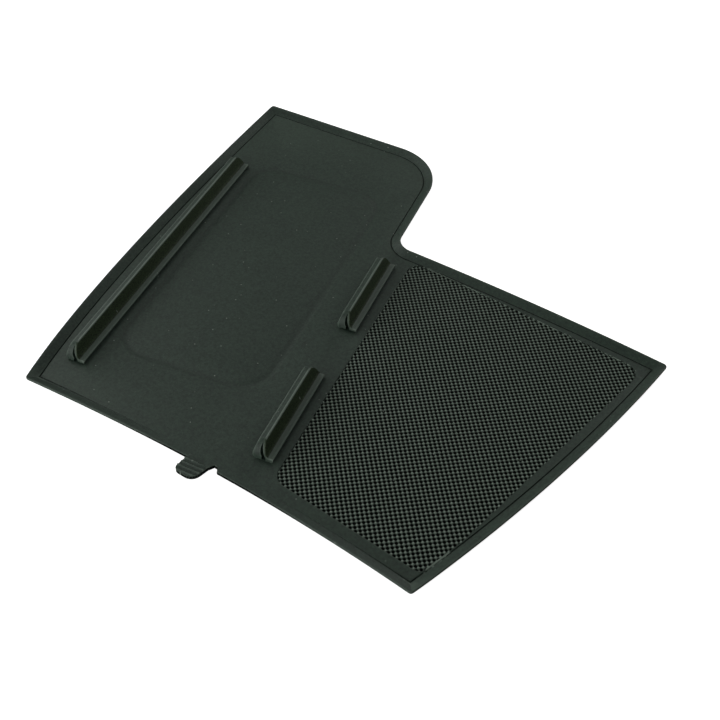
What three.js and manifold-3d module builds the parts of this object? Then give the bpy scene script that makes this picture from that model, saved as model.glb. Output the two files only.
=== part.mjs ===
// A moulded rubber mat for the tray of a vehicle's centre console, all in one piece.
// It has an upturned rim, one long and two short ribs beside a phone bay, a knurled panel and a pull tab.
// Millimetres, +Z up, lying on its flat underside, with the ribs running away from the front edge.
import * as THREE from "three";
import { mergeVertices } from "three/addons/utils/BufferGeometryUtils.js";
import Module from "manifold-3d";

const wasm = await Module();
wasm.setup();

// Sheet and rim
const SHEET_THICKNESS = 1.6;
const RIM_WIDTH = 3.4;
const RIM_RISE = 1.9;
const RIM_EDGE_THICKNESS = 0.9;
const RIM_EDGE_ROUNDING = 0.35;
const CREASE_WIDTH = 0.8;
const CREASE_DEPTH = 0.3;

// Outline seen from above, sharp corners before rounding, and what bows each curved side
const FRONT_LEFT_CORNER = [-71.5, -105.2];
const FRONT_RIGHT_CORNER = [96.7, -92.3];
const BACK_RIGHT_CORNER = [117.8, 51.0];
const STEP_INNER_CORNER = [-6.6, 44.2];
const STEP_OUTER_CORNER = [-22.8, 107.6];
const BACK_LEFT_CORNER = [-117.8, 93.6];
const FRONT_SIDE_PULL = [18.5, -90.6];
const RIGHT_SIDE_PULL = [114.6, -20.7];
const BACK_SIDE_PULL = [58.5, 50.6];
const LEFT_SIDE_PULL = [-96.1, -41.1];
const SMALL_CORNER_RADIUS = 1.5;
const STEP_INNER_RADIUS = 8;
const STEP_OUTER_RADIUS = 26;

// Ribs: a slanted block with a thin lipped plate on its right, in a frame turned to the left side
const RIB_FRAME_ORIGIN = [-68.9, -88.3];
const RIB_TILT = THREE.MathUtils.degToRad(14.3);
const RIB_END_RADIUS = 4.5;
const RIB_NOSE_RADIUS = 2.4;
const RIB_PLATE_THICKNESS = 0.9;
const RIB_NOTCH_DEPTH = 0.6;
const RIB_ROOT = 0.5;
const RIBS = [
  { name: "long", across: 0, along: 0, length: 138 },
  { name: "near", across: 86.7, along: -14.1, length: 44.4 },
  { name: "far", across: 88.3, along: 57.9, length: 42 },
];

// Rib section above the floor, from the left foot over the crest to the lip: [across, height]
const RIB_LEFT_SIDE = [[0, 0], [0.8, 2.1], [1.4, 4.0], [1.9, 5.6]];
const RIB_CREST = [[2.5, 6.3], [3.5, 6.8], [4.5, 7.05], [5.0, 6.9]];
const RIB_RIGHT_SIDE = [[5.45, 5.7], [5.8, 4.4], [6.25, 3.1], [6.9, 2.15], [7.8, 1.75]];
const RIB_LIP = [[8.8, 1.9], [9.1, 1.75], [9.1, 1.35], [8.3, 0.5]];

// Phone bay: a shallow groove round the place of the phone, in the ribs' frame
const BAY_GROOVE = { across: 12, along: 12.5, width: 65.3, length: 132, radius: 14 };
const BAY_GROOVE_WIDTH = 2.4;
const BAY_GROOVE_DEPTH = 0.2;

// Knurled panel, sunk in the floor right of the short ribs: square pits between crossed ridges
const PANEL_CORNERS = [[31.8, -83.6], [96, -83.6], [111, 43.9], [4, 42.1]];
const PANEL_CORNER_RADIUS = 6;
const KNURL_PITCH = 3.2;
const KNURL_DEPTH = 0.75;
const KNURL_CREST_DROP = 0.08;

// Pull tab on the front edge, with a small notch beside it
const TAB_LEFT = 1.5;
const TAB_WIDTH = 9.5;
const TAB_REACH = 5.6;
const TAB_ROOT = 4;
const TAB_THICKNESS = 1.7;
const TAB_CORNER_RADIUS = 2.4;
const TAB_RIDGES = 5;
const TAB_RIDGE_HEIGHT = 0.45;
const NOTCH_WIDTH = 3;
const NOTCH_DEPTH = 1.4;

const SIDE_SEGMENTS = 8;
const SMALL_CORNER_SEGMENTS = 3;
const LARGE_CORNER_SEGMENTS = 10;
const CUT_MARGIN = 1;

// Geometry whose equal vertices are shared, without the triangles that this closes up
function welded(positions, triangles) {
  const geometry = new THREE.BufferGeometry();
  geometry.setAttribute("position", new THREE.Float32BufferAttribute(positions, 3));
  geometry.setIndex(triangles);
  const merged = mergeVertices(geometry, 1e-4);
  const index = merged.index.array;
  const kept = [];
  for (let i = 0; i < index.length; i += 3) {
    const [a, b, c] = [index[i], index[i + 1], index[i + 2]];
    if (a !== b && b !== c && c !== a) kept.push(a, b, c);
  }
  merged.setIndex(kept);
  return merged;
}

function solidOf(geometry) {
  const bare = geometry.clone();
  bare.deleteAttribute("normal");
  bare.deleteAttribute("uv");
  const merged = mergeVertices(bare, 1e-4);
  return new wasm.Manifold(
    new wasm.Mesh({
      numProp: 3,
      vertProperties: merged.attributes.position.array,
      triVerts: new Uint32Array(merged.index.array),
    }),
  );
}

function geometryOf(solid) {
  const mesh = solid.getMesh();
  const geometry = new THREE.BufferGeometry();
  geometry.setAttribute("position", new THREE.BufferAttribute(mesh.vertProperties, 3));
  geometry.setIndex(new THREE.BufferAttribute(mesh.triVerts, 1));
  return geometry;
}

// A closed body through rings of equally many points, each [x, y, z], from its first ring to its last.
// flatten turns a ring into the plane where its cap is triangulated.
function loft(rings, flatten) {
  const count = rings[0].length;
  const triangles = [];
  for (let r = 0; r + 1 < rings.length; r++) {
    for (let i = 0; i < count; i++) {
      const j = (i + 1) % count;
      const [a, b, c, d] = [r * count + i, r * count + j, (r + 1) * count + j, (r + 1) * count + i];
      triangles.push(a, b, c, a, c, d);
    }
  }
  for (const [r, turned] of [[0, true], [rings.length - 1, false]]) {
    const kept = [];
    rings[r].forEach((p, i) => {
      const before = rings[r][(i + count - 1) % count];
      if (Math.hypot(p[0] - before[0], p[1] - before[1], p[2] - before[2]) > 1e-4) kept.push(i);
    });
    const flat = kept.map((i) => new THREE.Vector2(...flatten(rings[r][i])));
    for (const face of THREE.ShapeUtils.triangulateShape(flat, [])) {
      const [a, b, c] = face.map((k) => r * count + kept[k]);
      if (turned) triangles.push(a, c, b);
      else triangles.push(a, b, c);
    }
  }
  return solidOf(welded(rings.flat(2), triangles));
}

function side(from, pull, to, segments) {
  const start = new THREE.Vector2(...from);
  const end = new THREE.Vector2(...to);
  const curve = pull
    ? new THREE.QuadraticBezierCurve(start, new THREE.Vector2(...pull), end)
    : new THREE.LineCurve(start, end);
  return curve.getPoints(segments).slice(0, -1);
}

// The outline as a closed counterclockwise polyline, where a rounded corner is one marked point
function outline() {
  const sides = [
    [FRONT_LEFT_CORNER, FRONT_SIDE_PULL, FRONT_RIGHT_CORNER, SMALL_CORNER_RADIUS, SMALL_CORNER_SEGMENTS],
    [FRONT_RIGHT_CORNER, RIGHT_SIDE_PULL, BACK_RIGHT_CORNER, SMALL_CORNER_RADIUS, SMALL_CORNER_SEGMENTS],
    [BACK_RIGHT_CORNER, BACK_SIDE_PULL, STEP_INNER_CORNER, SMALL_CORNER_RADIUS, SMALL_CORNER_SEGMENTS],
    [STEP_INNER_CORNER, null, STEP_OUTER_CORNER, -STEP_INNER_RADIUS, LARGE_CORNER_SEGMENTS],
    [STEP_OUTER_CORNER, null, BACK_LEFT_CORNER, STEP_OUTER_RADIUS, LARGE_CORNER_SEGMENTS],
    [BACK_LEFT_CORNER, LEFT_SIDE_PULL, FRONT_LEFT_CORNER, SMALL_CORNER_RADIUS, SMALL_CORNER_SEGMENTS],
  ];
  return sides.flatMap(([from, pull, to, radius, segments]) => {
    const points = side(from, pull, to, pull ? SIDE_SEGMENTS : 1);
    return points.map((point, i) => ({ point, radius: i ? null : radius, segments }));
  });
}

// The outline moved inwards, with its corners rounded: a corner's radius is negative where it turns inwards
function insetOutline(inset) {
  const corners = outline();
  const count = corners.length;
  const moved = corners.map(({ point }, i) => {
    const into = point.clone().sub(corners[(i + count - 1) % count].point).normalize();
    const away = corners[(i + 1) % count].point.clone().sub(point).normalize();
    const bend = 1 + into.dot(away);
    const inward = new THREE.Vector2(-into.y - away.y, into.x + away.x).divideScalar(bend);
    return point.clone().addScaledVector(inward, inset);
  });
  return moved.flatMap((point, i) => {
    const { radius, segments } = corners[i];
    if (radius === null) return [point];
    const before = moved[(i + count - 1) % count];
    const after = moved[(i + 1) % count];
    const rounded = radius > 0 ? Math.max(radius - inset, 0) : inset - radius;
    return roundedCorner(before, point, after, rounded, segments);
  });
}

function roundedCorner(before, corner, after, radius, segments) {
  const back = before.clone().sub(corner).normalize();
  const on = after.clone().sub(corner).normalize();
  const half = Math.acos(THREE.MathUtils.clamp(back.dot(on), -1, 1)) / 2;
  const middle = back.clone().add(on).normalize();
  const centre = corner.clone().addScaledVector(middle, radius / Math.sin(half));
  const start = corner.clone().addScaledVector(back, radius / Math.tan(half)).sub(centre);
  const turn = (Math.PI - 2 * half) * Math.sign(-back.cross(on));
  const points = [];
  for (let k = 0; k <= segments; k++) {
    points.push(start.clone().rotateAround(new THREE.Vector2(), (turn * k) / segments).add(centre));
  }
  return points;
}

// A closed outline of straight sides with all its corners rounded
function roundedPolygon(corners, radius, segments) {
  const points = corners.map((corner) => new THREE.Vector2(...corner));
  return points.flatMap((point, i) => {
    const before = points[(i + points.length - 1) % points.length];
    return roundedCorner(before, point, points[(i + 1) % points.length], radius, segments);
  });
}

function prism(points, bottom, top) {
  const geometry = new THREE.ExtrudeGeometry(new THREE.Shape(points), {
    depth: top - bottom,
    bevelEnabled: false,
  });
  geometry.translate(0, 0, bottom);
  return solidOf(geometry);
}

// The sheet with its crease and upturned rim: rings from the floor out over the edge to the underside
function sheet() {
  const crest = SHEET_THICKNESS + RIM_RISE;
  const sections = [
    [RIM_WIDTH + CREASE_WIDTH, SHEET_THICKNESS],
    [RIM_WIDTH + CREASE_WIDTH / 2, SHEET_THICKNESS - CREASE_DEPTH],
    [RIM_WIDTH, SHEET_THICKNESS],
    [RIM_EDGE_ROUNDING, crest],
    [0, crest - RIM_EDGE_ROUNDING],
    [0, crest - RIM_EDGE_THICKNESS],
    [RIM_EDGE_ROUNDING, crest - RIM_EDGE_THICKNESS - RIM_EDGE_ROUNDING / 2],
    [RIM_WIDTH + RIM_EDGE_ROUNDING, 0],
  ];
  const rings = sections.map(([inset, z]) => insetOutline(inset).map((p) => [p.x, p.y, z]));
  return loft(rings.reverse(), (p) => [p[0], p[1]]);
}

// Places a point of the ribs' frame, across and along, in the mat's frame
function inRibFrame(across, along) {
  const turned = new THREE.Vector2(across, along).rotateAround(new THREE.Vector2(), RIB_TILT);
  return [RIB_FRAME_ORIGIN[0] + turned.x, RIB_FRAME_ORIGIN[1] + turned.y];
}

function acrossAtHeight(line, height) {
  for (let i = 0; i + 1 < line.length; i++) {
    const [[u0, z0], [u1, z1]] = [line[i], line[i + 1]];
    if ((height - z0) * (height - z1) <= 0) return u0 + ((u1 - u0) * (height - z0)) / (z1 - z0);
  }
  return height > line[0][1] ? line[0][0] : line.at(-1)[0];
}

const ribHeight = Math.max(...RIB_CREST.map(([, height]) => height));

// How far from its end the rib reaches a height, on the quarter round of its end
function endSetback(height) {
  return RIB_END_RADIUS * (1 - Math.sqrt(1 - Math.min(height / ribHeight, 1) ** 2));
}

// One rib with rounded ends, where a notch at each end parts the block from the plate
function rib({ across, along, length }) {
  const foot = RIB_LIP.at(-1)[0];
  const profile = [[0, -RIB_ROOT], [foot, -RIB_ROOT], ...[...RIB_LIP].reverse()];
  profile.push(...[...RIB_RIGHT_SIDE].reverse(), ...[...RIB_CREST].reverse(), ...[...RIB_LEFT_SIDE].reverse());
  const steps = [12, 26, 40, 55, 72, 90].map((angle) => THREE.MathUtils.degToRad(angle));
  const ends = steps.map((angle) => RIB_END_RADIUS * (1 - Math.cos(angle)));
  const first = ends[0];
  const stations = [
    ...ends.map((t, i) => [t - first, ribHeight * Math.sin(steps[i])]),
    ...ends.map((t, i) => [length - t + first, ribHeight * Math.sin(steps[i])]).reverse(),
  ];
  const rings = stations.map(([v, top]) => {
    const fromEnd = Math.min(v, length - v);
    const off = Math.max(RIB_NOSE_RADIUS - fromEnd, 0);
    const left = RIB_NOSE_RADIUS - Math.sqrt(RIB_NOSE_RADIUS ** 2 - off ** 2);
    return profile.map(([u, z]) => {
      const [x, y] = inRibFrame(across + Math.max(u, left * 0.8), along + v);
      return [x, y, SHEET_THICKNESS + Math.min(z, top)];
    });
  });
  const flatten = ([x, y, z]) => {
    const local = new THREE.Vector2(x - RIB_FRAME_ORIGIN[0], y - RIB_FRAME_ORIGIN[1]);
    return [local.rotateAround(new THREE.Vector2(), -RIB_TILT).x, z];
  };
  let solid = loft(rings.reverse(), flatten);
  for (const far of [false, true]) solid = solid.subtract(endNotch(across, along, length, far));
  return solid;
}

// The notch in a rib's end, between the block's round nose and the back of the plate
function endNotch(across, along, length, far) {
  const rightLine = [RIB_CREST.at(-1), ...RIB_RIGHT_SIDE];
  const levels = [0.05, 0.3, 0.6, 0.85, 1.05].map((share) => share * ribHeight);
  const rings = levels.map((height) => {
    const right = Math.min(acrossAtHeight(rightLine, height), RIB_RIGHT_SIDE.at(-2)[0]) - RIB_PLATE_THICKNESS;
    const left = acrossAtHeight(RIB_LEFT_SIDE, height);
    const radius = (right - left) * 0.45;
    const setback = endSetback(height);
    const corners = [[right, -CUT_MARGIN], [right, setback + radius + RIB_NOTCH_DEPTH]];
    for (const angle of [90, 60, 30, 0]) {
      const a = THREE.MathUtils.degToRad(angle);
      corners.push([right - radius * 1.1 + radius * Math.sin(a), setback + radius * (1 - Math.cos(a))]);
    }
    corners.push([right - radius * 1.1, -CUT_MARGIN]);
    if (far) corners.reverse();
    return corners.map(([u, t]) => {
      const [x, y] = inRibFrame(across + u, along + (far ? length - t : t));
      return [x, y, SHEET_THICKNESS + height];
    });
  });
  return loft(rings, (p) => [p[0], p[1]]);
}

// The groove round the phone's place, as the solid that it is cut with
function bayGroove() {
  const { across, along, width, length, radius } = BAY_GROOVE;
  const ring = (inset) => {
    const corners = [
      inRibFrame(across + inset, along + inset),
      inRibFrame(across + width - inset, along + inset),
      inRibFrame(across + width - inset, along + length - inset),
      inRibFrame(across + inset, along + length - inset),
    ];
    return roundedPolygon(corners, radius - inset, LARGE_CORNER_SEGMENTS / 2);
  };
  const bottom = SHEET_THICKNESS - BAY_GROOVE_DEPTH;
  const outer = prism(ring(0), bottom, SHEET_THICKNESS + CUT_MARGIN);
  const inner = prism(ring(BAY_GROOVE_WIDTH), bottom - CUT_MARGIN, SHEET_THICKNESS + 2 * CUT_MARGIN);
  return outer.subtract(inner);
}

// Everything above the knurl within the panel, as the solid that it is cut with
function knurlCut() {
  const spacing = KNURL_PITCH / Math.SQRT2;
  const xs = PANEL_CORNERS.map(([x]) => x);
  const ys = PANEL_CORNERS.map(([, y]) => y);
  const columns = Math.ceil((Math.max(...xs) - Math.min(...xs)) / spacing) + 2;
  const rows = Math.ceil((Math.max(...ys) - Math.min(...ys)) / spacing) + 2;
  const crest = SHEET_THICKNESS - KNURL_CREST_DROP;
  const lid = SHEET_THICKNESS + CUT_MARGIN;
  const positions = [];
  for (const top of [false, true]) {
    for (let j = 0; j <= rows; j++) {
      for (let i = 0; i <= columns; i++) {
        const field = (i + j) % 2 ? crest - KNURL_DEPTH : crest;
        positions.push(Math.min(...xs) + (i - 0.75) * spacing, Math.min(...ys) + (j - 0.75) * spacing);
        positions.push(top ? lid : field);
      }
    }
  }
  const at = (i, j, top) => (top ? (rows + 1) * (columns + 1) : 0) + j * (columns + 1) + i;
  const triangles = [];
  const quad = (a, b, c, d) => triangles.push(a, b, c, a, c, d);
  for (let j = 0; j < rows; j++) {
    for (let i = 0; i < columns; i++) {
      const [a, b, c, d] = [at(i, j), at(i + 1, j), at(i + 1, j + 1), at(i, j + 1)];
      if ((i + j) % 2) quad(b, a, d, c);
      else quad(a, d, c, b);
      quad(at(i, j, 1), at(i + 1, j, 1), at(i + 1, j + 1, 1), at(i, j + 1, 1));
    }
  }
  for (let i = 0; i < columns; i++) {
    quad(at(i, 0), at(i + 1, 0), at(i + 1, 0, 1), at(i, 0, 1));
    quad(at(i + 1, rows), at(i, rows), at(i, rows, 1), at(i + 1, rows, 1));
  }
  for (let j = 0; j < rows; j++) {
    quad(at(0, j + 1), at(0, j), at(0, j, 1), at(0, j + 1, 1));
    quad(at(columns, j), at(columns, j + 1), at(columns, j + 1, 1), at(columns, j, 1));
  }
  const block = solidOf(welded(positions, triangles));
  const border = roundedPolygon(PANEL_CORNERS, PANEL_CORNER_RADIUS, LARGE_CORNER_SEGMENTS / 2);
  return block.intersect(prism(border, 0, lid + CUT_MARGIN));
}

// The y of the front edge at an x, on its curve
function frontEdgeAt(x) {
  const curve = new THREE.QuadraticBezierCurve(
    new THREE.Vector2(...FRONT_LEFT_CORNER),
    new THREE.Vector2(...FRONT_SIDE_PULL),
    new THREE.Vector2(...FRONT_RIGHT_CORNER),
  );
  let [low, high] = [0, 1];
  for (let k = 0; k < 40; k++) {
    const middle = (low + high) / 2;
    if (curve.getPoint(middle).x < x) low = middle;
    else high = middle;
  }
  return curve.getPoint(low).y;
}

// The pull tab: a ridged section drawn across the front edge, cut to a rounded tongue
function tab() {
  const edge = frontEdgeAt(TAB_LEFT + TAB_WIDTH / 2);
  const tip = edge - TAB_REACH;
  const ridgePitch = TAB_REACH / TAB_RIDGES;
  const section = [[edge + TAB_ROOT, 0], [edge + TAB_ROOT, SHEET_THICKNESS / 2], [edge, TAB_THICKNESS]];
  for (let k = 0; k < TAB_RIDGES; k++) {
    const start = edge - k * ridgePitch;
    section.push([start - ridgePitch * 0.35, TAB_THICKNESS + TAB_RIDGE_HEIGHT]);
    section.push([start - ridgePitch * 0.65, TAB_THICKNESS + TAB_RIDGE_HEIGHT]);
    section.push([start - ridgePitch, TAB_THICKNESS]);
  }
  section.push([tip, 0]);
  const shape = new THREE.Shape(section.map(([y, z]) => new THREE.Vector2(y, z)));
  const bar = new THREE.ExtrudeGeometry(shape, { depth: TAB_WIDTH + NOTCH_WIDTH, bevelEnabled: false });
  bar.applyMatrix4(new THREE.Matrix4().makeBasis(
    new THREE.Vector3(0, 1, 0),
    new THREE.Vector3(0, 0, 1),
    new THREE.Vector3(1, 0, 0),
  ));
  bar.translate(TAB_LEFT, 0, 0);
  const right = TAB_LEFT + TAB_WIDTH;
  const tongue = roundedPolygon(
    [[TAB_LEFT, tip], [right, tip], [right + NOTCH_WIDTH / 3, edge + TAB_ROOT], [TAB_LEFT, edge + TAB_ROOT]],
    TAB_CORNER_RADIUS,
    SMALL_CORNER_SEGMENTS,
  );
  return solidOf(bar).intersect(prism(tongue, -CUT_MARGIN, TAB_THICKNESS + 2 * TAB_RIDGE_HEIGHT));
}

// The small notch in the front edge beside the tab, as the solid that it is cut with
function edgeNotch() {
  const left = TAB_LEFT + TAB_WIDTH + NOTCH_WIDTH / 3;
  const edge = frontEdgeAt(left);
  const corners = [
    [left - NOTCH_WIDTH / 2, edge - CUT_MARGIN],
    [left + NOTCH_WIDTH, edge - CUT_MARGIN],
    [left + NOTCH_WIDTH * 0.7, edge + NOTCH_DEPTH],
    [left, edge + NOTCH_DEPTH],
  ];
  const cut = roundedPolygon(corners, NOTCH_DEPTH / 4, SMALL_CORNER_SEGMENTS);
  return prism(cut, -CUT_MARGIN, SHEET_THICKNESS + RIM_RISE + CUT_MARGIN);
}

let mat = sheet().subtract(bayGroove()).subtract(knurlCut());
for (const one of RIBS) mat = mat.add(rib(one));
mat = mat.subtract(edgeNotch()).add(tab());

const geometry = geometryOf(mat);
geometry.computeBoundingBox();
const { min, max } = geometry.boundingBox;
geometry.translate(-(min.x + max.x) / 2, -(min.y + max.y) / 2, -min.z);

const rubber = new THREE.MeshStandardMaterial({ color: 0x2e3631, roughness: 0.8, metalness: 0 });
const body = new THREE.Mesh(geometry, rubber);
body.name = "mat";

const part = new THREE.Group();
part.add(body);

export default part;
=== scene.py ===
# %% [markdown]
# # A moulded rubber tray mat
# The part is a thin mat of moulded rubber that lies in the tray of a vehicle's console.
# It's one piece in real life, so it's one piece here: a flat sheet with an upturned rim, three
# raised ribs that hold a phone in place, a panel of fine knurling, and a small pull tab.
#
# The CAD part gives the form and its place. This script builds the same form again with finer
# edges and with the knurl at its real spacing, gives it rubber that looks like the photographed one,
# and sets up the camera and the light.
#
# All sizes of the mat are in millimetres, in the CAD part's own frame. They're turned into metres
# once, when the mesh is made. The table, the lamps and the camera are placed in metres.

# %% Load the CAD frame
import math

import bmesh
import bpy
import numpy as np
from mathutils import Euler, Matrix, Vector
from mathutils.geometry import delaunay_2d_cdt


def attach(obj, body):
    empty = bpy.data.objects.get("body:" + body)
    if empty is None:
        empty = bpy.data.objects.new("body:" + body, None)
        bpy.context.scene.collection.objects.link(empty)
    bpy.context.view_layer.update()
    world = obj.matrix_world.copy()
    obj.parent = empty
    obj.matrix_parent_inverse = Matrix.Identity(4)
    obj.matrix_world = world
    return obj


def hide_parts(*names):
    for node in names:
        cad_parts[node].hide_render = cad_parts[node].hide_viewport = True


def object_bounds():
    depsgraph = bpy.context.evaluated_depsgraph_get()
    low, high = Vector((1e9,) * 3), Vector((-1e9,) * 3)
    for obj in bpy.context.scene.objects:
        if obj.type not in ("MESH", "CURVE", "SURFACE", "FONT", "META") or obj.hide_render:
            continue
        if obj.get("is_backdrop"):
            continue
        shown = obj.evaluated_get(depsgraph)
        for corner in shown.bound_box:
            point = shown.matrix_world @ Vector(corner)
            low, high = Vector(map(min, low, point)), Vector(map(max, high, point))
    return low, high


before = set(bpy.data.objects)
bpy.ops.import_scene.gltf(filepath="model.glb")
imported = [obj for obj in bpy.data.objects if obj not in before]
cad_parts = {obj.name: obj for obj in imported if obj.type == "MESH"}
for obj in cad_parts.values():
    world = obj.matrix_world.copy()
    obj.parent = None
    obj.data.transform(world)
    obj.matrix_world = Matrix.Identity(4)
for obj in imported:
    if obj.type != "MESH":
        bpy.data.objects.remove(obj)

cad_low, cad_high = (list(corner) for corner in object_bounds())
print("CAD box, mm:", [round((b - a) * 1000, 1) for a, b in zip(cad_low, cad_high)])

# %% [markdown]
# ## The driving sizes
# Most of these are the same numbers as in the CAD source, so the finer mesh lies where the solid
# lies. The notch in the front edge and the finer forms of the tab and the ribs are only made here.
#
# The outline is six corners, joined by four bowed sides and two straight ones. A bowed side is a
# quadratic curve: its two ends, and one point that pulls it out of the straight line.

# %% Sizes of the sheet and its rim
MM = 0.001
CENTRING = np.array([-0.08, 0.28])   # how far centring the CAD box moved the outline
SHEET = 1.6                          # thickness of the flat sheet
RIM_WIDTH, RIM_RISE = 3.4, 1.9
RIM_EDGE, EDGE_ROUND = 0.9, 0.35     # thickness at the rim's outer edge, and its rounding
CREASE_DEPTH = 0.42                  # the fine groove along the foot of the rim
CREST = SHEET + RIM_RISE

# corner, what pulls the side after it (None is straight), corner radius (negative turns inwards)
CORNERS = [
    ((-71.5, -105.2), (18.5, -90.6), 1.5),
    ((96.7, -92.3), (114.6, -20.7), 1.5),
    ((117.8, 51.0), (58.5, 50.6), 1.5),
    ((-6.6, 44.2), None, -8.0),
    ((-22.8, 107.6), None, 26.0),
    ((-117.8, 93.6), (-96.1, -41.1), 1.5),
]

# the small notch in the front edge, right of the tab: the x of its mouth and its bottom, and the
# bottom's y. The outline gets points of its own at the given lines, so the notch's corners are crisp.
NOTCH_MOUTH, NOTCH_BOTTOM, NOTCH_Y, NOTCH_SLANT = (10.5, 14.3), (10.9, 13.3), -91.2, 2.4
NOTCH_LINES = np.array([10.49, 10.9, 11.7, 12.5, 13.3, 13.8, 14.3])
print("sheet:", SHEET, "mm, top of the rim:", CREST, "mm")

# %% [markdown]
# ## Drawing the outline, and the same outline further in
# Every ring of the rim is the same outline, moved inwards by a little more. Moving a line in is
# easy while its corners are sharp: each point slides along the line that halves its angle. So the
# corners are moved first and rounded after. A corner that turns outwards gets tighter as the line
# moves in, and one that turns inwards gets wider, which is what a cutter does too when the mould
# is milled.

# %% Outline
def round_corner(before, corner, after, radius, count):
    """An arc of count + 1 points that takes the place of a sharp corner."""
    back, on = before - corner, after - corner
    back, on = back / np.linalg.norm(back), on / np.linalg.norm(on)
    half = math.acos(np.clip(back @ on, -1, 1)) / 2
    middle = (back + on) / np.linalg.norm(back + on)
    centre = corner + middle * radius / math.sin(half)
    start = corner + back * radius / math.tan(half) - centre
    turn = (math.pi - 2 * half) * np.sign(-(back[0] * on[1] - back[1] * on[0]))
    angles = turn * np.linspace(0, 1, count + 1)
    cos, sin = np.cos(angles)[:, None], np.sin(angles)[:, None]
    return centre + cos * start + sin * np.array([-start[1], start[0]])


def rounded_polygon(corners, radii, count):
    """A closed line of straight sides with each corner rounded by its own radius."""
    points = np.array(corners, float)
    arcs = [round_corner(points[k - 1], points[k], points[(k + 1) % len(points)], radii[k], count)
            for k in range(len(points))]
    return np.vstack(arcs)


def inset_outline(inset, per_side=28):
    """The mat's outline seen from above, moved inwards by inset."""
    points, radii = [], []
    for k, (corner, pull, radius) in enumerate(CORNERS):
        a, b = np.array(corner), np.array(CORNERS[(k + 1) % len(CORNERS)][0])
        side = [a]
        if pull:
            # the last point is left out where the next corner's arc needs its room
            last = per_side - (1 if CORNERS[(k + 1) % len(CORNERS)][2] < 0 else 0)
            shares = np.arange(1, last) / per_side
            if k == 0:   # the front side, which has the notch
                fine = np.linspace(0, 1, 2001)
                along_x = (1 - fine) ** 2 * a[0] + 2 * fine * (1 - fine) * pull[0] + fine ** 2 * b[0]
                shares = np.sort(np.r_[shares, np.interp(NOTCH_LINES - CENTRING[0], along_x, fine)])
            for t in shares:
                side.append((1 - t) ** 2 * a + 2 * t * (1 - t) * np.array(pull) + t ** 2 * b)
        points.extend(side)
        radii.extend([radius] + [None] * (len(side) - 1))
    points = np.array(points)
    into = points - np.roll(points, 1, axis=0)
    into /= np.linalg.norm(into, axis=1)[:, None]
    away = np.roll(into, -1, axis=0)
    bend = 1 + (into * away).sum(1)
    inward = np.c_[-into[:, 1] - away[:, 1], into[:, 0] + away[:, 0]] / bend[:, None]
    moved = points + inward * inset
    ring = []
    for k, radius in enumerate(radii):
        if radius is None:
            ring.append(moved[k][None])
            continue
        tight = max(radius - inset, 0.0) if radius > 0 else inset - radius
        count = 6 if 0 < radius < 5 else 24   # points on a small corner's arc, or on a large one's
        ring.append(round_corner(moved[k - 1], moved[k], moved[(k + 1) % len(moved)], tight, count))
    return np.vstack(ring) + CENTRING


edge_ring = inset_outline(0.0)
print("outline:", len(edge_ring), "points,", np.ptp(edge_ring, axis=0).round(1), "mm")

# %% [markdown]
# ## Collecting faces
# The mat is put together from a few surfaces that share their edge points. Each one is added to
# the same lists, and points that lie in the same place are merged at the end, so the rubber runs
# through from one surface to the next without a seam.

# %% One pot for all points and faces
points_mm, faces = [], []


def add(points, new_faces):
    """Adds a surface: its points, and its faces by the numbers of its own points."""
    first = sum(len(p) for p in points_mm)
    points_mm.append(np.asarray(points, float))
    faces.extend([tuple(first + i for i in face) for face in new_faces])


def add_rings(rings):
    """A skin through closed rings of equally many points."""
    count = len(rings[0])
    skin = []
    for r in range(len(rings) - 1):
        for i in range(count):
            j = (i + 1) % count
            skin.append((r * count + i, r * count + j, (r + 1) * count + j, (r + 1) * count + i))
    add(np.vstack(rings), skin)


def at_height(ring, z):
    """A flat ring, lifted to a height."""
    return np.c_[ring, np.full(len(ring), z)]


def inside(ring, spots):
    """Which of the spots lie inside a closed line."""
    a, b = ring, np.roll(ring, -1, axis=0)
    x, y = spots[:, 0][:, None], spots[:, 1][:, None]
    straddles = (a[:, 1] > y) != (b[:, 1] > y)
    with np.errstate(divide="ignore", invalid="ignore"):
        cut = a[:, 0] + (y - a[:, 1]) * (b[:, 0] - a[:, 0]) / (b[:, 1] - a[:, 1])
    return (straddles & (x < cut)).sum(1) % 2 == 1

# %% [markdown]
# ## Rim
# The edge of the mat is turned up by about 30 degrees, so that crumbs and coins stay on it and a
# finger can get under it. Real moulds leave no knife edge, so the lip keeps 0.9 mm of rubber and
# its top is rounded. A fine crease runs along the foot of the slope.
#
# On the front side the rim gets lower and dies away beside the pull tab, where a finger has to
# reach. So there are two sections, one with the rim and one without, with the same number of
# points. Each point of the outline takes its own mix of the two. Where the rim is gone, the edge
# also lies a little further in. A bevel along the whole edge would be quicker to make, but it
# couldn't fade out on one side only.

# %% Rim, from the floor over the lip to the underside
# each point of a section is a pair: how far in from the edge it lies, and its height
# first the crease, and the slope up to the lip
with_rim = [(4.75, SHEET), (4.45, SHEET - 0.02), (4.22, SHEET - CREASE_DEPTH),
            (4.02, SHEET - CREASE_DEPTH), (3.82, SHEET - 0.03), (3.5, SHEET + 0.10),
            (3.1, SHEET + 0.24), (1.6, 2.72), (EDGE_ROUND + 0.1, CREST - 0.07)]
without_rim = [(inset, SHEET) for inset, _ in with_rim]
# then the rounding of the lip's top, by its angle above level
for angle in (70, 45, 20, 0):
    a = math.radians(angle)
    inset, drop = EDGE_ROUND * (1 - math.cos(a)), EDGE_ROUND * (1 - math.sin(a))
    with_rim.append((inset, CREST - drop))
    without_rim.append((inset, SHEET - drop))
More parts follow.
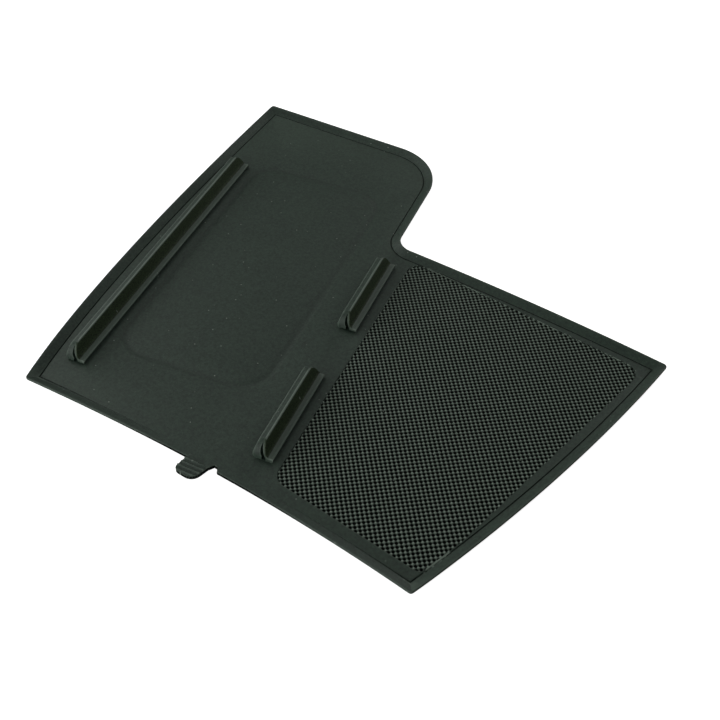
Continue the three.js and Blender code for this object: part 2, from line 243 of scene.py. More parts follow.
# last the edge, and back under the slope to the ground
with_rim += [(0.0, CREST - RIM_EDGE), (0.1, CREST - RIM_EDGE - 0.12),
             (EDGE_ROUND, CREST - RIM_EDGE - EDGE_ROUND / 2),
             (RIM_WIDTH + EDGE_ROUND - 0.2, 0.12), (RIM_WIDTH + EDGE_ROUND + 0.25, 0.0)]
without_rim += [(0.0, 0.35), (0.08, 0.15), (0.25, 0.03), (1.2, 0.0), (2.4, 0.0)]

# along the front side: x, and how much of the rim there is
FRONT_X = (-80, -60, -30, -12, -2, 26, 45, 70, 92, 104)
FRONT_RISE = (1.0, 0.85, 0.45, 0.14, 0.0, 0.0, 0.25, 0.6, 0.85, 1.0)
FRONT_INSET = 1.55                   # how much further in the edge lies where there's no rim
FRONT_Y, FRONT_BLEND = -84.0, 4.0    # the front side starts at this y and counts in full 4 mm on
NO_NOTCH = -200                      # a y far outside the mat


def rise_share(ring):
    """How much of the rim there is at each point of a ring: less on the front side, beside the tab."""
    on_front = np.clip((FRONT_Y - ring[:, 1]) / FRONT_BLEND, 0, 1)
    return 1 - on_front * (1 - np.interp(ring[:, 0], FRONT_X, FRONT_RISE))


def notched(ring):
    """The ring with the notch pressed into it."""
    x, y = ring.T
    left = np.interp(x, (NOTCH_MOUTH[0], NOTCH_BOTTOM[0]), (NO_NOTCH, NOTCH_Y))
    right = np.interp(x, (NOTCH_BOTTOM[1], NOTCH_MOUTH[1]), (NOTCH_Y, NOTCH_Y - NOTCH_SLANT))
    in_notch = (x > NOTCH_MOUTH[0]) & (x <= NOTCH_MOUTH[1] + 0.01) & (y < -80)
    bottom = np.where(in_notch, np.minimum(left, right), NO_NOTCH)
    return np.c_[x, np.maximum(y, bottom)]


rim_share = rise_share(edge_ring)
inward = inset_outline(1.0) - edge_ring
rim_rings = []
for (inset, z), (flat_inset, flat_z) in zip(with_rim, without_rim):
    extra = (1 - rim_share) * (flat_inset - inset + FRONT_INSET * (1 - flat_inset / with_rim[0][0]))
    ring = inset_outline(inset) + inward * extra[:, None]
    rim_rings.append(np.c_[notched(ring), rim_share * z + (1 - rim_share) * flat_z])
add_rings(rim_rings)
underside = rim_rings[-1]
add(underside, [tuple(range(len(underside)))[::-1]])
print("rim:", len(with_rim), "rings")

# %% [markdown]
# ## Knurled panel
# The panel lies right of the short ribs. Rows of round pits are pressed into it on a square grid
# that's turned by 45 degrees. Small rounded nodes are left standing between them, just below the
# floor's level, so keys and coins don't slide. The grid is 1.6 mm, which makes over 4,000 pits.
#
# One formula gives the depth everywhere. Two waves, one along each direction of the grid, are
# multiplied, so that it's deepest where both waves are high, and a share of their sum lets the
# saddles between two nodes sink too. Four points for each wave are enough, because every node and
# every pit then has a point of its own.
#
# A bump in the material would need no faces at all, but the pits are nearly as deep as they're
# wide. From a low side their walls hide their ground, which only real faces show.
#
# The sheet of knurl is made larger than the panel and then cut back along the panel's border, one
# straight cut for each short stretch, as a cutter would trim it.

# %% Sizes of the knurl
# the panel's corners, before they're rounded
PANEL = [(31.8, -83.6), (96.0, -83.6), (111.0, 43.9), (4.0, 42.1)]
PANEL_RADIUS = 6.0
KNURL_PITCH, KNURL_DEPTH = 1.6, 1.15
KNURL_DROP = 0.03            # how far a node's top lies below the floor
SADDLE = 0.33                # how deep it is halfway between two nodes, as a share of a pit's depth
WAVE_POINTS = 4
SHEET_SPAN = 175             # width of the sheet of knurl before it's cut
panel_border = rounded_polygon(PANEL, [PANEL_RADIUS] * 4, 8) + CENTRING
print("panel:", np.ptp(panel_border, axis=0).round(1), "mm")

# %% Cutting a sheet back to a border
def trimmed(bm, border, wall_z):
    """Cuts a sheet back to a convex border, and runs a wall from the cut to height wall_z."""
    for a, b in zip(border, np.roll(border, -1, axis=0)):
        outward = Vector((b[1] - a[1], a[0] - b[0], 0)).normalized()
        everything = bm.verts[:] + bm.edges[:] + bm.faces[:]
        bmesh.ops.bisect_plane(bm, geom=everything, plane_co=(*a, 0), plane_no=outward,
                               clear_outer=True, dist=1e-5)
    rim_edges = [e for e in bm.edges if e.is_boundary]
    made = bmesh.ops.extrude_edge_only(bm, edges=rim_edges)["geom"]
    for made_part in made:
        if isinstance(made_part, bmesh.types.BMVert):
            made_part.co.z = wall_z


def add_bmesh(bm):
    """Adds all points and faces of a bmesh, and frees it."""
    bm.verts.index_update()
    add([v.co[:] for v in bm.verts], [tuple(v.index for v in f.verts) for f in bm.faces])
    bm.free()

# %% Knurl
centre = panel_border.mean(0)
half_count = int(SHEET_SPAN / KNURL_PITCH / 2) * WAVE_POINTS
lines = np.arange(-half_count, half_count) * KNURL_PITCH / WAVE_POINTS
a, b = np.meshgrid(lines, lines)
wave_a, wave_b = ((1 - np.cos(2 * math.pi * along / KNURL_PITCH)) / 2 for along in (a, b))
sunk = (1 - 2 * SADDLE) * wave_a * wave_b + SADDLE * (wave_a + wave_b)
height = SHEET - KNURL_DROP - KNURL_DEPTH * sunk
spots = np.stack([(a - b) / math.sqrt(2) + centre[0], (a + b) / math.sqrt(2) + centre[1], height], -1)
near = inside(panel_border, spots.reshape(-1, 3)[:, :2]).reshape(a.shape)
bm = bmesh.new()
grid = [[None] * len(lines) for _ in lines]
wide = near.copy()   # also the points up to three steps outside, so the border has faces to cut
for shift in ((0, 1), (0, -1), (1, 0), (-1, 0), (1, 1), (-1, -1), (1, -1), (-1, 1)):
    for step in (1, 2, 3):
        wide |= np.roll(near, (shift[0] * step, shift[1] * step), (0, 1))
for j, i in zip(*np.nonzero(wide)):
    grid[j][i] = bm.verts.new(spots[j, i])
for j in range(len(lines) - 1):
    for i in range(len(lines) - 1):
        quad = [grid[j][i], grid[j][i + 1], grid[j + 1][i + 1], grid[j + 1][i]]
        if all(quad):
            bm.faces.new(quad)
trimmed(bm, panel_border, SHEET)
print("knurl:", len(bm.faces), "faces")
add_bmesh(bm)

# %% [markdown]
# ## Floor
# The floor is flat from the rim's crease to the panel's border. Only the phone bay has a shape
# of its own: a very shallow rounded rectangle, which shows where the phone goes. It lies along
# the ribs, which are turned by 14.3 degrees. A triangulation that keeps given lines as edges
# fills the area and follows every border exactly.

# %% Sizes of the phone bay
RIB_ORIGIN = np.array([-68.9, -88.3]) + CENTRING
RIB_TILT = math.radians(14.3)
ACROSS = np.array([math.cos(RIB_TILT), math.sin(RIB_TILT)])
ALONG = np.array([-math.sin(RIB_TILT), math.cos(RIB_TILT)])
BAY_ACROSS, BAY_ALONG, BAY_WIDTH, BAY_LENGTH, BAY_RADIUS = 12.0, 12.5, 65.3, 132.0, 14.0
GROOVE_WIDTH, GROOVE_DEPTH = 4.6, 0.42
GROOVE_START = -1.1                  # where the groove's outer side lies, inwards from the bay's outline


def in_rib_frame(across, along):
    """Points on the floor, given across and along the long rib from its front left corner."""
    return RIB_ORIGIN + np.outer(across, ACROSS) + np.outer(along, ALONG)


def bay_ring(inset):
    """The phone bay's outline, moved inwards by inset."""
    lo_u, hi_u = BAY_ACROSS + inset, BAY_ACROSS + BAY_WIDTH - inset
    lo_v, hi_v = BAY_ALONG + inset, BAY_ALONG + BAY_LENGTH - inset
    corners = in_rib_frame([lo_u, hi_u, hi_u, lo_u], [lo_v, lo_v, hi_v, hi_v])
    return rounded_polygon(corners, [BAY_RADIUS - inset] * 4, 12)


print("phone bay:", BAY_WIDTH, "by", BAY_LENGTH, "mm")

# %% Floor
loops = [(rim_rings[0][:, :2], SHEET), (panel_border, SHEET)]
for across_groove in (0.0, 0.2, 0.4, 0.6, 0.8, 1.0):
    depth = GROOVE_DEPTH * 0.5 * (1 - math.cos(2 * math.pi * across_groove))
    loops.append((bay_ring(GROOVE_START + GROOVE_WIDTH * across_groove), SHEET - depth))
flat, heights, edges = [], [], []
for ring, z in loops:
    first = len(flat)
    flat.extend(Vector(p) for p in ring)
    heights.extend([z] * len(ring))
    edges.extend((first + k, first + (k + 1) % len(ring)) for k in range(len(ring)))
found = delaunay_2d_cdt(flat, edges, [], 0, 1e-6)
spots = np.array([tuple(v) for v in found[0]])
z_of = np.array([heights[origin[0]] if origin else SHEET for origin in found[3]])
triangles = np.array([tuple(f) for f in found[2]])
middles = spots[triangles].mean(1)
kept = inside(loops[0][0], middles) & ~inside(panel_border, middles)
add(np.c_[spots, z_of], [tuple(int(i) for i in t) for t in triangles[kept]])
print("floor:", int(kept.sum()), "triangles")

# %% [markdown]
# ## Ribs
# One section serves all three ribs. On its left a block rises steeply to a narrow flat top. On its
# right a thin plate falls from the crest in a hollow curve and runs out in a flat lip with a
# shadow gap below it. The plate is thin so that it gives a little when a phone is pushed in.
#
# At its ends the plate dives to the floor in a quarter round, and the block in a longer, flatter
# one. So the plate stands clear of the block there, and a slit parts them. All that is one skin:
# the section is repeated along the rib, with the block and the plate each cut off at their own
# height, and with a slit between them that closes 4 mm in. Cutting the ends from a long bar would
# work too, but each cut leaves thin faces that shade badly.

# %% Sizes of the ribs
RIBS = [(0.0, 0.0, 139.0), (86.7, -14.1, 45.4), (88.3, 57.9, 43.0)]   # across, along, length
PLATE_END, BLOCK_END = 5.0, 7.2      # how far in the plate and the block reach their full height
NOSE_RADIUS, NOSE_SHARE = 3.0, 0.85  # the block's left corner, seen from above
PLATE, PLATE_FOOT = 0.9, 1.95        # the plate's thickness, and the height at which the lip starts
SLIT_LENGTH, SLIT_WIDTH = 4.3, 1.6   # the slit at each end, which narrows inwards
SLIT_FLOOR = 0.25                    # height of the rubber left in the slit
TOP = 7.05                           # all heights on a rib are above the sheet
WALL_POINTS = 6                      # points on each side of the slit

# the section, from left to right: how far across, and how high
BLOCK = np.array([(-0.30, 0.0), (-0.08, 0.06), (0.08, 0.30), (0.45, 1.2), (0.8, 2.1), (1.4, 4.0),
                  (1.8, 5.3), (1.98, 5.85), (2.14, 6.2), (2.4, 6.4), (2.8, 6.47), (3.4, 6.56),
                  (3.9, 6.66), (4.1, 6.72)])
PLATE_TOP = np.array([(4.16, 6.76), (4.35, 6.92), (4.6, 7.04)])
RIGHT = np.array([(4.8, 7.03), (4.98, 6.93), (5.12, 6.70), (5.45, 5.7), (5.8, 4.4), (6.02, 3.7),
                  (6.25, 3.0), (6.5, 2.4), (6.8, 2.05), (7.2, 1.9), (7.8, 1.86)])
LIP = np.array([(8.5, 1.84), (8.9, 1.84), (9.1, 1.74), (9.15, 1.5), (9.1, 1.2), (8.9, 0.8),
                (8.75, 0.4), (8.7, -0.3)])
FOOT = [(8.7, -0.5), (-0.3, -0.5)]   # sunk in the sheet
print("rib section:", LIP[:, 0].max(), "mm wide,", TOP, "mm high")

# %% One section of a rib
def across_at(line, z):
    """Where a side of the section crosses a height."""
    order = np.argsort(line[:, 1])
    return np.interp(z, line[order, 1], line[order, 0])


def end_height(t, reach):
    """The height that a quarter round of this reach leaves at a distance t from the end."""
    return TOP * math.sqrt(max(0.0, 1 - (1 - min(t, reach) / reach) ** 2))


def plate_back(z):
    """The plate's left side, hidden in the block except at the ends."""
    return across_at(RIGHT, max(z, PLATE_FOOT)) - PLATE


def section_at(t):
    """The rib's section at a distance t from its nearer end."""
    block_limit, plate_limit = end_height(t, BLOCK_END), end_height(t, PLATE_END)
    seam = PLATE_TOP[0][1]
    off = max(NOSE_RADIUS - t, 0.0)
    nose = NOSE_SHARE * (NOSE_RADIUS - math.sqrt(max(NOSE_RADIUS ** 2 - off ** 2, 0.0)))
    opening = max(0.0, 1 - t / SLIT_LENGTH) ** 0.75   # of the slit, from 1 at the end to 0
    block_top = min(block_limit, seam)
    slit_floor = min(SLIT_FLOOR, block_top) if opening else block_top
    left_levels = np.linspace(block_top, slit_floor, WALL_POINTS)
    right_levels = np.linspace(slit_floor, min(plate_limit, seam), WALL_POINTS)
    left_wall = [plate_back(z) - opening * SLIT_WIDTH for z in left_levels]
    cut = across_at(BLOCK, block_limit)
    line = []
    for u, z in BLOCK:
        if z > block_limit:
            u = cut + (u - cut) / (BLOCK[-1][0] - cut) * (left_wall[0] - cut)
        line.append((max(u, nose), min(z, block_limit)))
    line += [(max(u, nose), z) for u, z in zip(left_wall, left_levels)]
    line += [(plate_back(z), z) for z in right_levels]
    for u, z in PLATE_TOP:
        line.append((plate_back(plate_limit), plate_limit) if z > plate_limit else (u, z))
    for u, z in RIGHT:
        line.append((across_at(RIGHT, plate_limit), plate_limit) if z > plate_limit else (u, z))
    line += [(u, min(z, plate_limit)) for u, z in LIP]
    return np.array(line + FOOT)

# %% Ribs
def rib(across, along, length):
    """A skin through the sections of one rib, with a face on each end."""
    steps = [0.02, 0.12, 0.3, 0.6, 1.0, 1.5, 2.1, 2.8, 3.5, SLIT_LENGTH, SLIT_LENGTH + 0.02,
             PLATE_END, 5.7, 6.4, BLOCK_END]
    stations = [(t, t) for t in steps] + [(length - t, t) for t in reversed(steps)]
    rings = []
    for v, t in stations:
        u, z = section_at(t).T
        spots = in_rib_frame(across + u, np.full(len(u), along + v))
        rings.append(np.c_[spots, SHEET + z][::-1])
    add_rings(rings)
    count = len(rings[0])
    add(rings[0], [tuple(range(count))[::-1]])
    add(rings[-1], [tuple(range(count))])


for one_rib in RIBS:
    rib(*one_rib)
print("ribs:", len(RIBS))

# %% [markdown]
# ## Pull tab
# A short tongue on the front edge is there to lift the mat out. Fine ridges across it give a
# finger some grip. It's a ridged sheet, cut back to the tongue's outline with the same trimming
# as the knurl, with its walls run down to the ground. Five separate bars on a plate would look
# stuck on, while in one sheet each ridge grows out of the tongue, as it does in a mould.

# %% Sizes of the pull tab
TAB_OUTLINE = [(1.0, -101.0), (9.6, -100.6), (11.0, -90.0), (1.2, -90.0)]
TAB_RADII = [1.8, 4.2, 0.5, 0.5]
TAB_TOP, TAB_RIDGE, TAB_RIDGE_PITCH = 1.75, 0.42, 1.85
TAB_TILT = math.radians(10.5)
FIRST_RIDGE = np.array([4.0, -94.54])
# a ridge's section: how far from its middle, and the share of its height
RIDGE_SHAPE = ((-0.5, 0.0), (-0.22, 0.75), (0.0, 1.0), (0.22, 0.75), (0.5, 0.0))
ROOT_Y, ROOT_LENGTH, ROOT_DROP = -94.2, 1.2, 0.35   # at its root the tab dips below the sheet's top
print("ridges:", TAB_RIDGE, "mm high,", TAB_RIDGE_PITCH, "mm apart")

# %% Pull tab
tab_border = rounded_polygon(TAB_OUTLINE, TAB_RADII, 6)
along_ridge = np.array([math.cos(TAB_TILT), math.sin(TAB_TILT)])
to_tip = np.array([math.sin(TAB_TILT), -math.cos(TAB_TILT)])
rows = [(-5.0, 0.0)]
for k in range(5):
    rows += [(k * TAB_RIDGE_PITCH + offset, share_up) for offset, share_up in RIDGE_SHAPE]
bm = bmesh.new()
strip = []
for offset, share_up in rows:
    row = []
    for along in np.linspace(-8, 12, 21):
        x, y = FIRST_RIDGE + along_ridge * along + to_tip * offset
        root = np.clip((y - ROOT_Y) / ROOT_LENGTH, 0, 1)
        row.append(bm.verts.new((x, y, TAB_TOP + TAB_RIDGE * share_up * (1 - root) - ROOT_DROP * root)))
    strip.append(row)
for low_row, high_row in zip(strip, strip[1:]):
    for i in range(len(low_row) - 1):
        bm.faces.new((low_row[i], high_row[i], high_row[i + 1], low_row[i + 1]))
trimmed(bm, tab_border, 0.0)
add_bmesh(bm)
add(at_height(tab_border, 0.0), [tuple(range(len(tab_border)))[::-1]])
print("tab:", len(rows), "rows of points")

# %% [markdown]
# ## One mesh
# The real mat is one moulding, so everything goes into one object. Faces are smooth except where
# two of them meet at more than 38 degrees, so rounded edges look round and creases stay crisp. The
# knurl is the exception: its nodes are so small that a few faces turn by more than that, and
# they're all smooth.

# %% Make the object
mesh = bpy.data.meshes.new("rubber_mat")
# the finer outline bulges past the solid's facets by a few hundredths, so it's held to the CAD box
inside_box = np.clip(np.vstack(points_mm) * MM, cad_low, cad_high)
mesh.from_pydata(inside_box.tolist(), [], faces)
bm = bmesh.new()
bm.from_mesh(mesh)
bmesh.ops.remove_doubles(bm, verts=bm.verts, dist=0.002 * MM)
bmesh.ops.recalc_face_normals(bm, faces=bm.faces)
bm.to_mesh(mesh)
bm.free()
mesh.shade_smooth()
mesh.set_sharp_from_angle(angle=math.radians(38))
print("points merged:", sum(len(p) for p in points_mm) - len(mesh.vertices))

# %% A smooth knurl
places = np.empty(len(mesh.vertices) * 3)
mesh.vertices.foreach_get("co", places)
places = places.reshape(-1, 3) / MM
in_knurl = inside(panel_border, places[:, :2]) & (places[:, 2] > 0.1)
ends = np.empty(len(mesh.edges) * 2, dtype=np.int32)
mesh.edges.foreach_get("vertices", ends)
soft = in_knurl[ends.reshape(-1, 2)].all(1)
sharp = np.empty(len(mesh.edges), dtype=bool)
mesh.attributes["sharp_edge"].data.foreach_get("value", sharp)
mesh.attributes["sharp_edge"].data.foreach_set("value", sharp & ~soft)
print("edges made soft in the knurl:", int((sharp & soft).sum()))

# %% Numbers for the material
def point_values(name, values):
    """Gives every point of the mesh a number that the material can read."""
    mesh.attributes.new(name, "FLOAT", "POINT").data.foreach_set("value", values.astype(np.float32))


# how far down in the knurl a point lies, from 0 on a node to 1 in a pit, and -1 off the panel
depth_share = (SHEET - KNURL_DROP - places[:, 2]) / KNURL_DEPTH
point_values("sunk", np.where(in_knurl, np.clip(depth_share, 0, 1), -1.0))
# the ribs' hollow faces, towards the phone or the panel, which get painted shade, and their raised
# edges, which are painted paler for wear and as a painted highlight
grip, worn_and_highlit_places = np.zeros(len(places)), np.zeros(len(places))
for across, along, length in RIBS:
    from_corner = places[:, :2] - in_rib_frame([across], [along])
    u, v = from_corner @ ACROSS, from_corner @ ALONG
    z = places[:, 2] - SHEET
    along_rib = (v > -0.5) & (v < length + 0.5)
    on_face = (u > 4.95) & (u < 7.0) & (z > 2.0) & (z < 6.8) & (u > across_at(RIGHT, z) - 0.3)
    grip[along_rib & on_face] = 1.0
    # the lip, the crest and the left edge get wear and a painted highlight, where they catch the light
    on_lip = (u > 7.1) & (u < 9.2) & (z > 1.4) & (z < 2.0)
    on_crest = (u > 4.3) & (u < 5.05) & (z > 6.85)
    on_left_edge = (u > 1.9) & (u < 2.3) & (z > 5.8)
    worn_and_highlit_places[along_rib & (on_lip | on_crest | on_left_edge)] = 1.0
point_values("grip", grip)
point_values("worn_and_highlit", worn_and_highlit_places)

mat_object = bpy.data.objects.new("rubber_mat", mesh)
bpy.context.scene.collection.objects.link(mat_object)
mesh.calc_loop_triangles()
print("mat:", len(mesh.loop_triangles), "triangles")

# %% [markdown]
# ## Rubber
# The mat is moulded from black rubber with a touch of green. The mould's floor is spark-eroded,
# which gives the rubber a fine grain and a dull sheen. Its raised edges are painted paler, partly for
# wear from hands and phones and partly as a painted highlight. The knurl's nodes get a painted
# highlight, and its pits hold no light and get painted shade that makes them black. The ribs' hollow
# faces get painted shade too, and a few specks of dust lie on top.
#
# A picture of rubber could give all that, but it would be as sharp as the picture and no sharper.
# Noise that the material works out by itself is as fine as the camera asks for. The mesh only says
# where a pit, a hollow face or an edge with wear and painted highlight is.

# %% Material helpers
def linear(hex_colour):
    """An sRGB hex colour as linear red, green, blue, alpha."""
    channels = [int(hex_colour[i:i + 2], 16) / 255 for i in (1, 3, 5)]
    return (*[c / 12.92 if c <= 0.04045 else ((c + 0.055) / 1.055) ** 2.4 for c in channels], 1.0)


def node(tree, kind, settings=None, **inputs):
    """Adds a shader node. Settings are its own properties, and inputs are values or links by name."""
    made = tree.nodes.new(kind)
    for name, value in (settings or {}).items():
        setattr(made, name, value)
    for name, value in inputs.items():
        socket = made.inputs[name.replace("_", " ")]
        if isinstance(value, bpy.types.NodeSocket):
            tree.links.new(value, socket)
        else:
            socket.default_value = value
    return made


def new_material(name):
    """An empty material and its node tree."""
    material = bpy.data.materials.new(name)
    material.use_nodes = True
    material.node_tree.nodes.clear()
    return material, material.node_tree


print("helpers: linear, node, new_material")

# %% Moulded rubber
rubber, tree = new_material("moulded rubber, spark-eroded grain")
coordinates = node(tree, "ShaderNodeTexCoord").outputs["Object"]


def noise(scale_mm, detail, roughness=0.6):
    """Noise whose largest lumps are about scale_mm wide."""
    return node(tree, "ShaderNodeTexNoise", {"noise_dimensions": "3D"}, Vector=coordinates,
                Scale=1000.0 / scale_mm, Detail=detail, Roughness=roughness).outputs["Fac"]


def ramp(value, stops):
    """A colour ramp from positions and sRGB hex colours."""
    made = node(tree, "ShaderNodeValToRGB", Fac=value)
    elements = made.color_ramp.elements
    for element, (position, colour) in zip(elements, stops):
        element.position, element.color = position, linear(colour)
    return made.outputs["Color"]


def mix(kind, share, first, second):
    """Mixes two colours. A share is a value or a link."""
    made = node(tree, "ShaderNodeMix", {"data_type": "RGBA", "blend_type": kind})
    for socket, value in zip((made.inputs[0], made.inputs[6], made.inputs[7]), (share, first, second)):
        if isinstance(value, bpy.types.NodeSocket):
            tree.links.new(value, socket)
        else:
            socket.default_value = value
    return made.outputs[2]


def between(value, low, high):
    """0 at low, 1 at high, and held there."""
    return node(tree, "ShaderNodeMapRange", {"clamp": True}, Value=value,
                From_Min=low, From_Max=high).outputs["Result"]


def times(value, factor):
    """The product of a link with a number or another link."""
    return node(tree, "ShaderNodeMapRange", {"clamp": False}, Value=value,
                To_Max=factor).outputs["Result"]


def attribute(name):
    """A number that the mesh has at its points."""
    return node(tree, "ShaderNodeAttribute", {"attribute_name": name}).outputs["Fac"]


print("rubber's helpers: noise, ramp, mix, between, times, attribute")

# %% Colours of the rubber
# the rubber's own colour drifts a little between grey and green
tone = ramp(noise(22.0, 4.0), [(0.35, "#1c2f23"), (0.7, "#223528")])
# the grain: light and dark grit. The real grain is finer than a pixel of the picture, so it's drawn
# at 1.1 mm, which is the finest that still shows.
grit = ramp(noise(1.1, 4.0, 0.8), [(0.36, "#0f1812"), (0.66, "#36493c")])
toned = mix("MIX", 0.5, tone, grit)
# raised edges are painted paler, partly for wear and partly as a painted highlight: those that the mesh
# finds by its shape, and those of the ribs
pointiness = node(tree, "ShaderNodeNewGeometry").outputs["Pointiness"]
worn_and_highlit = mix("MIX", times(between(pointiness, 0.51, 0.58), 0.5), toned, linear("#617063"))
worn_and_highlit = mix("MIX", times(attribute("worn_and_highlit"), 0.55), worn_and_highlit, linear("#657367"))
# the ribs' hollow faces get a coarser olive-brown grain with lumps of half a millimetre: partly the
# mould's grain, partly painted shade for the dark brown shade on these faces
grain_and_shade = ramp(noise(0.5, 3.0, 0.75), [(0.38, "#131b0e"), (0.66, "#3a4a2e")])
gripped = mix("MIX", times(attribute("grip"), 0.9), worn_and_highlit, grain_and_shade)
# the knurl: painted highlight, which makes the nodes pale where they catch the light, and painted shade
# in the pits below
nodes_highlit = mix("MIX", times(between(attribute("sunk"), 0.45, 0.0), 0.85), gripped, linear("#8c9c8e"))
is_knurl = between(attribute("sunk"), -0.02, 0.0)
knurled = mix("MIX", is_knurl, gripped, nodes_highlit)
# painted shade: the pits are painted near black, for the shade deep in them
pits = between(attribute("sunk"), 0.21, 0.58)
shaded = mix("MIX", times(pits, 0.96), knurled, linear("#010201"))
# painted shade: the tab's walls and the edge without a rim, low upright faces near the table, are
# painted near black for the shade around them
above_table = node(tree, "ShaderNodeSeparateXYZ", Vector=coordinates).outputs["Z"]
above_ground = between(above_table, 0.02 * MM, 0.15 * MM)
off_panel = between(attribute("sunk"), 0.0, -0.02)
normal = node(tree, "ShaderNodeNewGeometry").outputs["Normal"]
normal_z = node(tree, "ShaderNodeSeparateXYZ", Vector=normal).outputs["Z"]
upright = node(tree, "ShaderNodeMath", {"operation": "ABSOLUTE"}, Value=normal_z).outputs[0]
steep = between(upright, 0.6, 0.3)
wall = times(times(times(between(above_table, 1.6 * MM, 1.5 * MM), above_ground), off_panel), steep)
# painted shade: off the panel, everything just below the floor's level, such as the phone outline's
# shallow groove and the rim's crease, is painted a little darker than the floor
hollow = times(between(above_table, 1.58 * MM, 1.18 * MM), off_panel)
shaded = mix("MIX", times(hollow, 0.16), shaded, linear("#050605"))
shaded = mix("MIX", times(wall, 0.85), shaded, linear("#050605"))
dull = mix("LIGHTEN", 1.0, mix("LIGHTEN", 1.0, pits, wall), times(attribute("grip"), 0.75))
gloss = node(tree, "ShaderNodeMapRange", {"clamp": True}, Value=dull,
             To_Min=0.5, To_Max=0.03).outputs["Result"]
# single pale specks of dust
SPECK_SPACING = 4.348                # one place for a speck in this many millimetres, most of them empty
specks = node(tree, "ShaderNodeTexVoronoi", {"voronoi_dimensions": "2D"}, Vector=coordinates,
              Scale=1000.0 / SPECK_SPACING, Randomness=1.0)
dusty = between(specks.outputs["Distance"], 0.075, 0.03)
by_chance = node(tree, "ShaderNodeSeparateColor", Color=specks.outputs["Color"]).outputs["Red"]
chosen = between(by_chance, 0.90, 0.97)
speck_share = node(tree, "ShaderNodeMix", {"data_type": "FLOAT"}, Factor=dusty, B=chosen).outputs[0]
dusted = mix("MIX", times(speck_share, 0.6), shaded, linear("#8d978c"))
print("colour layers made, nodes so far:", len(tree.nodes))

# %% Grain and sheen of the rubber
# rubber has an IOR of about 1.5, and a skin with such a fine grain is dull: it spreads the light of
# the soft boxes over the whole floor, where a smooth one would mirror them
bump = node(tree, "ShaderNodeBump", Strength=0.6, Distance=0.06 * MM, Height=noise(0.4, 3.0))
shader = node(tree, "ShaderNodeBsdfPrincipled", Base_Color=dusted, Roughness=0.62, IOR=1.5,
              Specular_IOR_Level=gloss, Normal=bump.outputs["Normal"])
output = node(tree, "ShaderNodeOutputMaterial", Surface=shader.outputs["BSDF"])
mesh.materials.append(rubber)

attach(mat_object, "root")
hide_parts("mat")
print("rubber:", len(tree.nodes), "nodes")

# %% [markdown]
# ## Studio
# The mat lies on a white table. Two low soft boxes stand on the left of the camera and one behind
# the mat, with a few weaker ones that fill the shadows. One large sky light would be simpler, but
# it would light every side alike, and the ribs and the knurl would look flat.
#
# For the camera the table also shines by itself, so it burns out to white, as in the photograph,
# and only a trace of the shadow under the rim is left. The light that it throws back on the mat is
# that of plain white paper.

# %% Table
TABLE_HALF, TABLE_Z, TABLE_GLOW = 4, -0.0002, 0.93
table_corners = [(-TABLE_HALF, -TABLE_HALF, TABLE_Z), (TABLE_HALF, -TABLE_HALF, TABLE_Z),
                 (TABLE_HALF, TABLE_HALF, TABLE_Z), (-TABLE_HALF, TABLE_HALF, TABLE_Z)]
floor_mesh = bpy.data.meshes.new("table")
floor_mesh.from_pydata(table_corners, [], [(0, 1, 2, 3)])
table = bpy.data.objects.new("table", floor_mesh)
bpy.context.scene.collection.objects.link(table)
# matt white card, which throws back four fifths of the light and has no sheen
white, tree = new_material("white table")
paper = node(tree, "ShaderNodeBsdfDiffuse", Color=(0.8, 0.8, 0.8, 1.0)).outputs["BSDF"]
seen_directly = node(tree, "ShaderNodeLightPath").outputs["Is Camera Ray"]
glow = node(tree, "ShaderNodeEmission", Color=(1.0, 1.0, 1.0, 1.0),
            Strength=times(seen_directly, TABLE_GLOW))
both = tree.nodes.new("ShaderNodeAddShader")
tree.links.new(paper, both.inputs[0])
tree.links.new(glow.outputs["Emission"], both.inputs[1])
node(tree, "ShaderNodeOutputMaterial", Surface=both.outputs[0])
floor_mesh.materials.append(white)
table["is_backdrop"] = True
print("table:", 2 * TABLE_HALF, "m wide")

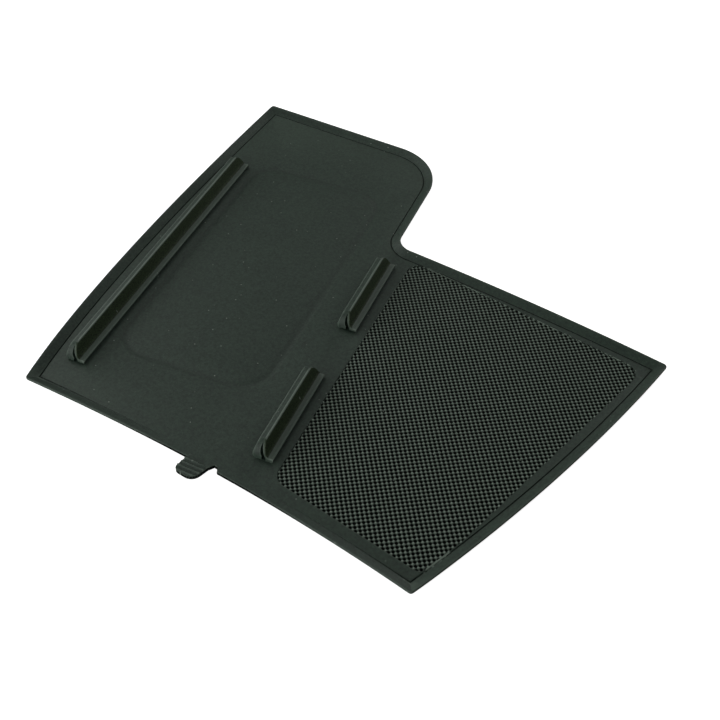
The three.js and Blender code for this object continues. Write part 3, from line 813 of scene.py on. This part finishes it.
# %% White surroundings
scene = bpy.context.scene
world = bpy.data.worlds.new("studio")
scene.world = world
world.use_nodes = True
world.node_tree.nodes.clear()
seen_directly = node(world.node_tree, "ShaderNodeLightPath").outputs["Is Camera Ray"]
dim = node(world.node_tree, "ShaderNodeBackground", Color=(1, 1, 1, 1), Strength=0.0)
bright = node(world.node_tree, "ShaderNodeBackground", Color=(1, 1, 1, 1), Strength=1.0)
mixed = world.node_tree.nodes.new("ShaderNodeMixShader")
world.node_tree.links.new(seen_directly, mixed.inputs["Fac"])
world.node_tree.links.new(dim.outputs[0], mixed.inputs[1])
world.node_tree.links.new(bright.outputs[0], mixed.inputs[2])
node(world.node_tree, "ShaderNodeOutputWorld", Surface=mixed.outputs[0])
print("world: white to the camera, dark to everything else")

# %% Soft boxes
def area_light(name, location, target, size, power):
    """A rectangular lamp that faces the target."""
    lamp = bpy.data.lights.new(name, "AREA")
    lamp.shape = "RECTANGLE"
    lamp.size, lamp.size_y = size
    lamp.energy = power
    made = bpy.data.objects.new(name, lamp)
    made.location = location
    made.rotation_euler = (Vector(target) - Vector(location)).to_track_quat("-Z", "Y").to_euler()
    scene.collection.objects.link(made)


BOX_DISTANCE, BOX_SIDE = 0.7, 0.35   # metres
# azimuth from +X towards +Y and elevation in degrees, and power in watts
SOFT_BOXES = {
    "soft box front": (270, 15, 1.86),
    "soft box left": (225, 15, 1.6),
    "soft box behind": (90, 15, 1.1),
    "fill left, low": (180, 15, 0.8),
    "fill left, high": (180, 42, 0.95),
    "fill right, low": (45, 15, 0.36),
    "fill right, high": (45, 42, 0.46),
    "fill behind, high": (125, 50, 0.4),
}
for name, (azimuth, elevation, power) in SOFT_BOXES.items():
    azimuth, elevation = math.radians(azimuth), math.radians(elevation)
    flat_distance = BOX_DISTANCE * math.cos(elevation)
    location = (flat_distance * math.cos(azimuth), flat_distance * math.sin(azimuth),
                BOX_DISTANCE * math.sin(elevation))
    area_light(name, location, (0, 0, 0), (BOX_SIDE, BOX_SIDE), power)
print("soft boxes:", len(SOFT_BOXES))

# %% Camera
# its place, angle and lens were worked out from the knurl's square grid in the photograph
camera_data = bpy.data.cameras.new("camera")
camera_data.lens = 52.32
camera_data.sensor_width = 36.0
camera_data.clip_start, camera_data.clip_end = 0.01, 20.0
camera = bpy.data.objects.new("camera", camera_data)
camera.location = (0.18381, -0.24636, 0.29473)
camera.rotation_euler = Euler([math.radians(d) for d in (43.6636, -1.2962, 36.8839)], "XYZ")
scene.collection.objects.link(camera)
scene.camera = camera
scene.view_settings.view_transform = "Standard"
print("camera:", round(camera_data.lens, 2), "mm lens")
